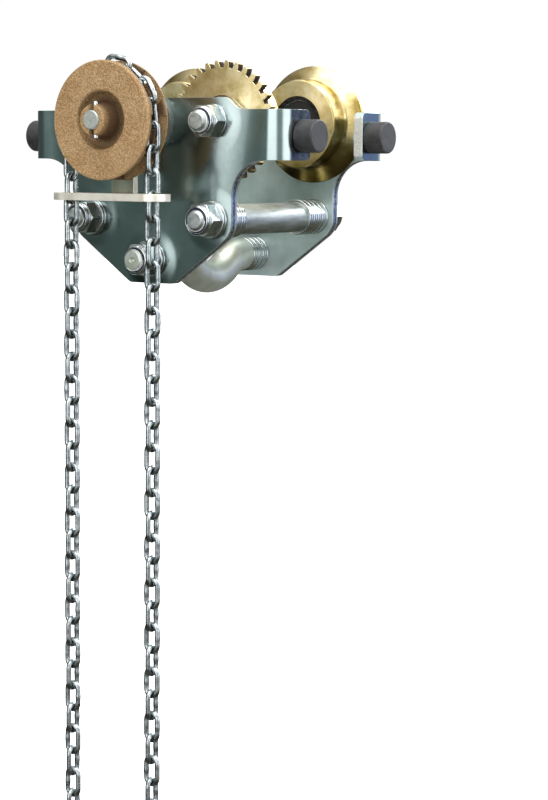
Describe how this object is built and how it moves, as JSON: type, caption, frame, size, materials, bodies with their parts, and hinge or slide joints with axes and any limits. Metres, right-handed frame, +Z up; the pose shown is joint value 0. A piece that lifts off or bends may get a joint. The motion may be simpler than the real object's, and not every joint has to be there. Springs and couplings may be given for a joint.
{
  "type": "geared beam trolley",
  "caption": "Geared beam trolley: bent side plates with flanged wheels, crossbars and a cranked load bar, driven through a pinion by a hand chain wheel and endless chain.",
  "frame": {"origin": "midway between the four wheels, on the plane where their treads run on the beam flange", "axes": "+X along the beam, +Y across it away from the hand wheel, +Z up"},
  "size_m": [0.347, 0.3235, 0.8645],
  "materials": {
    "plate_zinc": "bright zinc plate, blurred reflections",
    "wheel_bronze": "machined bronze",
    "hand_wheel_bronze": "sand-cast bronze, matte",
    "bearing_steel": "ground bearing steel",
    "seal_rubber": "moulded rubber seal",
    "spring_steel": "blackened spring steel",
    "bar_zinc": "zinc-plated bar",
    "fastener_zinc": "bright zinc plate",
    "nut_nylon": "dark nylon locking ring",
    "buffer_rubber": "moulded black rubber",
    "chain_zinc": "bright zinc-plated welded chain",
    "guide_plated": "warm nickel-like plating",
    "drive_steel": "ground steel",
    "bush_bronze": "sintered bronze"
  },
  "bodies": {
    "frame": {"front_side_plate": "plate_zinc", "rear_side_plate": "plate_zinc", "bearing_inner_rings": "bearing_steel", "axle_spacers": "fastener_zinc", "left_crossbar": "bar_zinc", "right_crossbar": "bar_zinc", "crossbar_spacer_washers": "fastener_zinc", "load_bar_spacer_washers": "fastener_zinc", "plate_washers": "fastener_zinc", "plate_lock_nuts": "fastener_zinc", "plate_lock_nut_inserts": "nut_nylon", "buffer_studs": "fastener_zinc", "buffer_nuts": "fastener_zinc", "shaft_housing": "guide_plated", "housing_screws": "fastener_zinc", "shaft_bushes": "bush_bronze", "thrust_washer": "fastener_zinc", "chain_guide": "guide_plated", "guide_screws": "fastener_zinc", "front_left_axle": "bar_zinc", "front_right_axle": "bar_zinc", "rear_left_axle": "bar_zinc", "rear_right_axle": "bar_zinc", "front_left_buffer": "buffer_rubber", "front_right_buffer": "buffer_rubber", "rear_left_buffer": "buffer_rubber", "rear_right_buffer": "buffer_rubber", "hand_chain_wheel_wrap": "chain_zinc", "hand_chain_left_fall": "chain_zinc", "hand_chain_right_fall": "chain_zinc", "hand_chain_bottom_loop": "chain_zinc"},
    "front_left_wheel_set": {"front_left_wheel": "wheel_bronze", "front_left_wheel_bearing_outer_rings": "bearing_steel", "front_left_wheel_bearing_balls": "bearing_steel", "front_left_wheel_bearing_seals": "seal_rubber", "front_left_wheel_circlip": "spring_steel"},
    "front_right_wheel_set": {"front_right_wheel": "wheel_bronze", "front_right_wheel_bearing_outer_rings": "bearing_steel", "front_right_wheel_bearing_balls": "bearing_steel", "front_right_wheel_bearing_seals": "seal_rubber", "front_right_wheel_circlip": "spring_steel"},
    "rear_left_wheel_set": {"rear_left_wheel": "wheel_bronze", "rear_left_wheel_bearing_outer_rings": "bearing_steel", "rear_left_wheel_bearing_balls": "bearing_steel", "rear_left_wheel_bearing_seals": "seal_rubber", "rear_left_wheel_circlip": "spring_steel"},
    "rear_right_wheel_set": {"rear_right_wheel": "wheel_bronze", "rear_right_wheel_bearing_outer_rings": "bearing_steel", "rear_right_wheel_bearing_balls": "bearing_steel", "rear_right_wheel_bearing_seals": "seal_rubber", "rear_right_wheel_circlip": "spring_steel"},
    "hand_drive": {"hand_chain_wheel": "hand_wheel_bronze", "drive_shaft": "drive_steel", "drive_pinion": "drive_steel", "pinion_key": "drive_steel", "hand_wheel_pin": "drive_steel", "shaft_circlip": "spring_steel"},
    "load_bar_set": {"load_bar": "bar_zinc", "load_bar_lock_nuts": "fastener_zinc", "load_bar_nut_inserts": "nut_nylon"}
  },
  "joints": [
    {"name": "front_left_wheel_spin", "type": "hinge", "parent": "frame", "child": "front_left_wheel_set", "pos_m": [-0.074, 0, 0.04475], "axis": [0, 1, 0], "continuous": true},
    {"name": "front_right_wheel_spin", "type": "hinge", "parent": "frame", "child": "front_right_wheel_set", "pos_m": [0.074, 0, 0.04475], "axis": [0, 1, 0], "continuous": true},
    {"name": "rear_left_wheel_spin", "type": "hinge", "parent": "frame", "child": "rear_left_wheel_set", "pos_m": [-0.074, 0, 0.04475], "axis": [0, 1, 0], "continuous": true},
    {"name": "rear_right_wheel_spin", "type": "hinge", "parent": "frame", "child": "rear_right_wheel_set", "pos_m": [0.074, 0, 0.04475], "axis": [0, 1, 0], "continuous": true},
    {"name": "hand_wheel_spin", "type": "hinge", "parent": "frame", "child": "hand_drive", "pos_m": [0, 0, 0.04475], "axis": [0, 1, 0], "continuous": true},
    {"name": "load_bar_swing", "type": "hinge", "parent": "frame", "child": "load_bar_set", "pos_m": [0, 0, -0.08915], "axis": [0, 1, 0], "range_deg": [-45, 45]}
  ],
  "couplings": [
    {"joint": "front_left_wheel_spin", "follows": "front_right_wheel_spin", "ratio": 1},
    {"joint": "hand_wheel_spin", "follows": "front_right_wheel_spin", "ratio": -3.1}
  ]
}
